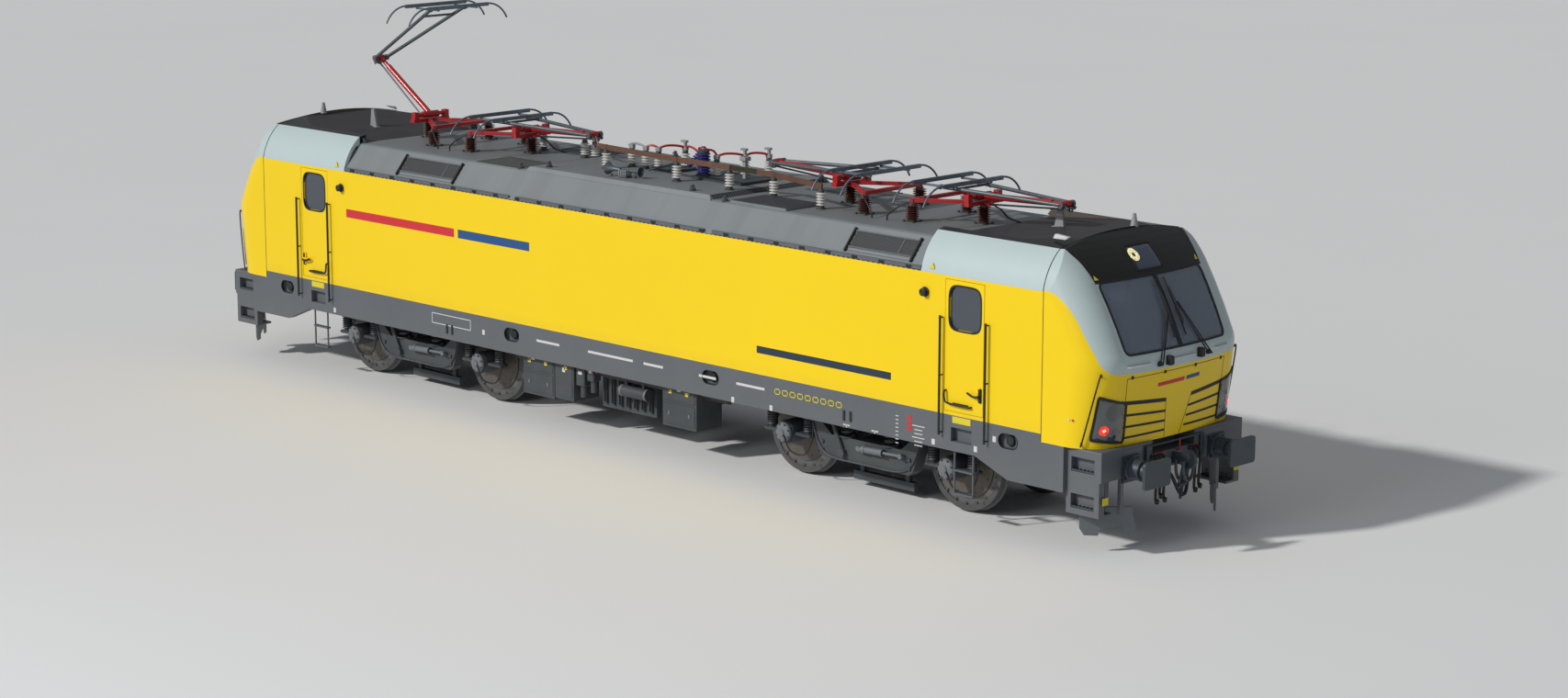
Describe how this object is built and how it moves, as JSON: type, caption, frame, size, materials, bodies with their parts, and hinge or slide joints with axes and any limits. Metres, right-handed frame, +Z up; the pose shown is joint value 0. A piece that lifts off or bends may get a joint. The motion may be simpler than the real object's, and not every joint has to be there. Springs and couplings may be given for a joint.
{
  "type": "electric locomotive",
  "caption": "Four-axle electric locomotive with a cab at each end, roof pantographs, swivelling bogies, turning wheelsets and opening cab doors.",
  "frame": {"origin": "under the middle of the vehicle, at the lowest point of the wheel flanges; the rail top is 30 mm above it", "axes": "+X towards the front cab, +Y towards the left side, +Z up"},
  "size_m": [18.98, 3.152, 5.8516],
  "materials": {
    "yellow_paint": "gloss",
    "roof_paint": "satin",
    "sill_paint": "satin",
    "window_glass": "gloss",
    "lamp_glass": "gloss",
    "brown_porcelain": "gloss",
    "white_porcelain": "gloss",
    "blue_porcelain": "gloss",
    "copper_bar": "satin",
    "red_paint": "satin",
    "arm_metal": "satin",
    "cab_trim": "matte",
    "wheel_steel": "matte",
    "buffer_steel": "satin",
    "equipment_mass": "matte",
    "running_gear_paint": "matte"
  },
  "bodies": {
    "carbody": {"air_equipment": "running_gear_paint", "battery_boxes": "running_gear_paint", "buffers": "buffer_steel", "busbar_insulators": "white_porcelain", "busbars": "copper_bar", "cab_bulkheads": "cab_trim", "cab_noses": "yellow_paint", "cab_roofs": "roof_paint", "driver_desks": "cab_trim", "driver_seats": "cab_trim", "entry_ladders": "running_gear_paint", "equipment_block": "equipment_mass", "handrails": "running_gear_paint", "headlamps": "lamp_glass", "horns": "running_gear_paint", "left_side_wall": "yellow_paint", "machine_room_roof": "roof_paint", "main_switch": "blue_porcelain", "pantograph_bases": "red_paint", "pantograph_insulators": "brown_porcelain", "rail_guards": "running_gear_paint", "right_side_wall": "yellow_paint", "screw_couplings": "buffer_steel", "transformer": "running_gear_paint", "underframe": "sill_paint", "windscreens": "window_glass"},
    "front_bogie": {"front_bogie_frame": "running_gear_paint", "front_bogie_suspension": "running_gear_paint", "front_bogie_motors": "running_gear_paint"},
    "front_outer_wheelset": {"front_outer_wheelset": "wheel_steel"},
    "front_inner_wheelset": {"front_inner_wheelset": "wheel_steel"},
    "rear_bogie": {"rear_bogie_frame": "running_gear_paint", "rear_bogie_suspension": "running_gear_paint", "rear_bogie_motors": "running_gear_paint"},
    "rear_outer_wheelset": {"rear_outer_wheelset": "wheel_steel"},
    "rear_inner_wheelset": {"rear_inner_wheelset": "wheel_steel"},
    "front_right_door": {"front_right_door": "yellow_paint", "front_right_door_window": "window_glass"},
    "front_left_door": {"front_left_door": "yellow_paint", "front_left_door_window": "window_glass"},
    "rear_left_door": {"rear_left_door": "yellow_paint", "rear_left_door_window": "window_glass"},
    "rear_right_door": {"rear_right_door": "yellow_paint", "rear_right_door_window": "window_glass"},
    "rear_outer_pantograph_lower_arm": {"rear_outer_pantograph_lower_arm": "red_paint"},
    "rear_outer_pantograph_upper_arm": {"rear_outer_pantograph_upper_arm": "arm_metal"},
    "rear_outer_pantograph_head": {"rear_outer_pantograph_head": "arm_metal"},
    "rear_outer_pantograph_guide_rod": {"rear_outer_pantograph_guide_rod": "arm_metal"},
    "rear_inner_pantograph_lower_arm": {"rear_inner_pantograph_lower_arm": "red_paint"},
    "rear_inner_pantograph_upper_arm": {"rear_inner_pantograph_upper_arm": "arm_metal"},
    "rear_inner_pantograph_head": {"rear_inner_pantograph_head": "arm_metal"},
    "rear_inner_pantograph_guide_rod": {"rear_inner_pantograph_guide_rod": "arm_metal"},
    "front_inner_pantograph_lower_arm": {"front_inner_pantograph_lower_arm": "red_paint"},
    "front_inner_pantograph_upper_arm": {"front_inner_pantograph_upper_arm": "arm_metal"},
    "front_inner_pantograph_head": {"front_inner_pantograph_head": "arm_metal"},
    "front_inner_pantograph_guide_rod": {"front_inner_pantograph_guide_rod": "arm_metal"},
    "front_outer_pantograph_lower_arm": {"front_outer_pantograph_lower_arm": "red_paint"},
    "front_outer_pantograph_upper_arm": {"front_outer_pantograph_upper_arm": "arm_metal"},
    "front_outer_pantograph_head": {"front_outer_pantograph_head": "arm_metal"},
    "front_outer_pantograph_guide_rod": {"front_outer_pantograph_guide_rod": "arm_metal"}
  },
  "joints": [
    {"name": "front_bogie_swivel", "type": "hinge", "parent": "carbody", "child": "front_bogie", "pos_m": [4.75, 0, 0.62], "axis": [0, 0, 1], "range_deg": [-3.5, 3.5]},
    {"name": "front_outer_wheelset_turn", "type": "hinge", "parent": "front_bogie", "child": "front_outer_wheelset", "pos_m": [6.25, 0, 0.655], "axis": [0, 1, 0], "continuous": true},
    {"name": "front_inner_wheelset_turn", "type": "hinge", "parent": "front_bogie", "child": "front_inner_wheelset", "pos_m": [3.25, 0, 0.655], "axis": [0, 1, 0], "continuous": true},
    {"name": "rear_bogie_swivel", "type": "hinge", "parent": "carbody", "child": "rear_bogie", "pos_m": [-4.75, 0, 0.62], "axis": [0, 0, 1], "range_deg": [-3.5, 3.5]},
    {"name": "rear_outer_wheelset_turn", "type": "hinge", "parent": "rear_bogie", "child": "rear_outer_wheelset", "pos_m": [-6.25, 0, 0.655], "axis": [0, 1, 0], "continuous": true},
    {"name": "rear_inner_wheelset_turn", "type": "hinge", "parent": "rear_bogie", "child": "rear_inner_wheelset", "pos_m": [-3.25, 0, 0.655], "axis": [0, 1, 0], "continuous": true},
    {"name": "front_right_door_hinge", "type": "hinge", "parent": "carbody", "child": "front_right_door", "pos_m": [6.461, -1.431, 2.4], "axis": [0, 0, 1], "range_deg": [0, 88]},
    {"name": "front_left_door_hinge", "type": "hinge", "parent": "carbody", "child": "front_left_door", "pos_m": [6.461, 1.431, 2.4], "axis": [0, 0, -1], "range_deg": [0, 88]},
    {"name": "rear_left_door_hinge", "type": "hinge", "parent": "carbody", "child": "rear_left_door", "pos_m": [-6.461, 1.431, 2.4], "axis": [0, 0, 1], "range_deg": [0, 88]},
    {"name": "rear_right_door_hinge", "type": "hinge", "parent": "carbody", "child": "rear_right_door", "pos_m": [-6.461, -1.431, 2.4], "axis": [0, 0, -1], "range_deg": [0, 88]},
    {"name": "rear_outer_pantograph_raise", "type": "hinge", "parent": "carbody", "child": "rear_outer_pantograph_lower_arm", "pos_m": [-5.757, 0, 4.09], "axis": [0, 1, 0], "range_deg": [-31, 22]},
    {"name": "rear_outer_pantograph_knee", "type": "hinge", "parent": "rear_outer_pantograph_lower_arm", "child": "rear_outer_pantograph_upper_arm", "pos_m": [-6.96469, 0, 4.87428], "axis": [0, 1, 0], "range_deg": [-40.87, 57.58]},
    {"name": "rear_outer_pantograph_head_pivot", "type": "hinge", "parent": "rear_outer_pantograph_upper_arm", "child": "rear_outer_pantograph_head", "pos_m": [-5.30029, 0, 5.76975], "axis": [0, 1, 0], "range_deg": [-26.58, 18.87]},
    {"name": "rear_outer_pantograph_rod_pivot", "type": "hinge", "parent": "carbody", "child": "rear_outer_pantograph_guide_rod", "pos_m": [-5.8913, 0, 3.99], "axis": [0, 1, 0], "range_deg": [-32.37, 22.98]},
    {"name": "rear_inner_pantograph_raise", "type": "hinge", "parent": "carbody", "child": "rear_inner_pantograph_lower_arm", "pos_m": [-3.361, 0, 4.09], "axis": [0, -1, 0], "range_deg": [0, 53]},
    {"name": "rear_inner_pantograph_knee", "type": "hinge", "parent": "rear_inner_pantograph_lower_arm", "child": "rear_inner_pantograph_upper_arm", "pos_m": [-1.92188, 0, 4.14025], "axis": [0, -1, 0], "range_deg": [-98.44, 0]},
    {"name": "rear_inner_pantograph_head_pivot", "type": "hinge", "parent": "rear_inner_pantograph_upper_arm", "child": "rear_inner_pantograph_head", "pos_m": [-3.81103, 0, 4.19679], "axis": [0, -1, 0], "range_deg": [0, 45.44]},
    {"name": "rear_inner_pantograph_rod_pivot", "type": "hinge", "parent": "carbody", "child": "rear_inner_pantograph_guide_rod", "pos_m": [-3.2267, 0, 3.99], "axis": [0, -1, 0], "range_deg": [0, 55.33]},
    {"name": "front_inner_pantograph_raise", "type": "hinge", "parent": "carbody", "child": "front_inner_pantograph_lower_arm", "pos_m": [3.361, 0, 4.09], "axis": [0, 1, 0], "range_deg": [0, 53]},
    {"name": "front_inner_pantograph_knee", "type": "hinge", "parent": "front_inner_pantograph_lower_arm", "child": "front_inner_pantograph_upper_arm", "pos_m": [1.92188, 0, 4.14025], "axis": [0, 1, 0], "range_deg": [-98.44, 0]},
    {"name": "front_inner_pantograph_head_pivot", "type": "hinge", "parent": "front_inner_pantograph_upper_arm", "child": "front_inner_pantograph_head", "pos_m": [3.81103, 0, 4.19679], "axis": [0, 1, 0], "range_deg": [0, 45.44]},
    {"name": "front_inner_pantograph_rod_pivot", "type": "hinge", "parent": "carbody", "child": "front_inner_pantograph_guide_rod", "pos_m": [3.2267, 0, 3.99], "axis": [0, 1, 0], "range_deg": [0, 55.33]},
    {"name": "front_outer_pantograph_raise", "type": "hinge", "parent": "carbody", "child": "front_outer_pantograph_lower_arm", "pos_m": [5.757, 0, 4.09], "axis": [0, -1, 0], "range_deg": [0, 53]},
    {"name": "front_outer_pantograph_knee", "type": "hinge", "parent": "front_outer_pantograph_lower_arm", "child": "front_outer_pantograph_upper_arm", "pos_m": [7.19612, 0, 4.14025], "axis": [0, -1, 0], "range_deg": [-98.44, 0]},
    {"name": "front_outer_pantograph_head_pivot", "type": "hinge", "parent": "front_outer_pantograph_upper_arm", "child": "front_outer_pantograph_head", "pos_m": [5.30697, 0, 4.19679], "axis": [0, -1, 0], "range_deg": [0, 45.44]},
    {"name": "front_outer_pantograph_rod_pivot", "type": "hinge", "parent": "carbody", "child": "front_outer_pantograph_guide_rod", "pos_m": [5.8913, 0, 3.99], "axis": [0, -1, 0], "range_deg": [0, 55.33]}
  ],
  "couplings": [
    {"joint": "rear_outer_pantograph_knee", "follows": "rear_outer_pantograph_raise", "ratio": -1.857},
    {"joint": "rear_outer_pantograph_head_pivot", "follows": "rear_outer_pantograph_raise", "ratio": 0.857},
    {"joint": "rear_outer_pantograph_rod_pivot", "follows": "rear_outer_pantograph_raise", "ratio": 1.0437},
    {"joint": "rear_inner_pantograph_knee", "follows": "rear_inner_pantograph_raise", "ratio": -1.857},
    {"joint": "rear_inner_pantograph_head_pivot", "follows": "rear_inner_pantograph_raise", "ratio": 0.857},
    {"joint": "rear_inner_pantograph_rod_pivot", "follows": "rear_inner_pantograph_raise", "ratio": 1.0437},
    {"joint": "front_inner_pantograph_knee", "follows": "front_inner_pantograph_raise", "ratio": -1.857},
    {"joint": "front_inner_pantograph_head_pivot", "follows": "front_inner_pantograph_raise", "ratio": 0.857},
    {"joint": "front_inner_pantograph_rod_pivot", "follows": "front_inner_pantograph_raise", "ratio": 1.0437},
    {"joint": "front_outer_pantograph_knee", "follows": "front_outer_pantograph_raise", "ratio": -1.857},
    {"joint": "front_outer_pantograph_head_pivot", "follows": "front_outer_pantograph_raise", "ratio": 0.857},
    {"joint": "front_outer_pantograph_rod_pivot", "follows": "front_outer_pantograph_raise", "ratio": 1.0437}
  ]
}
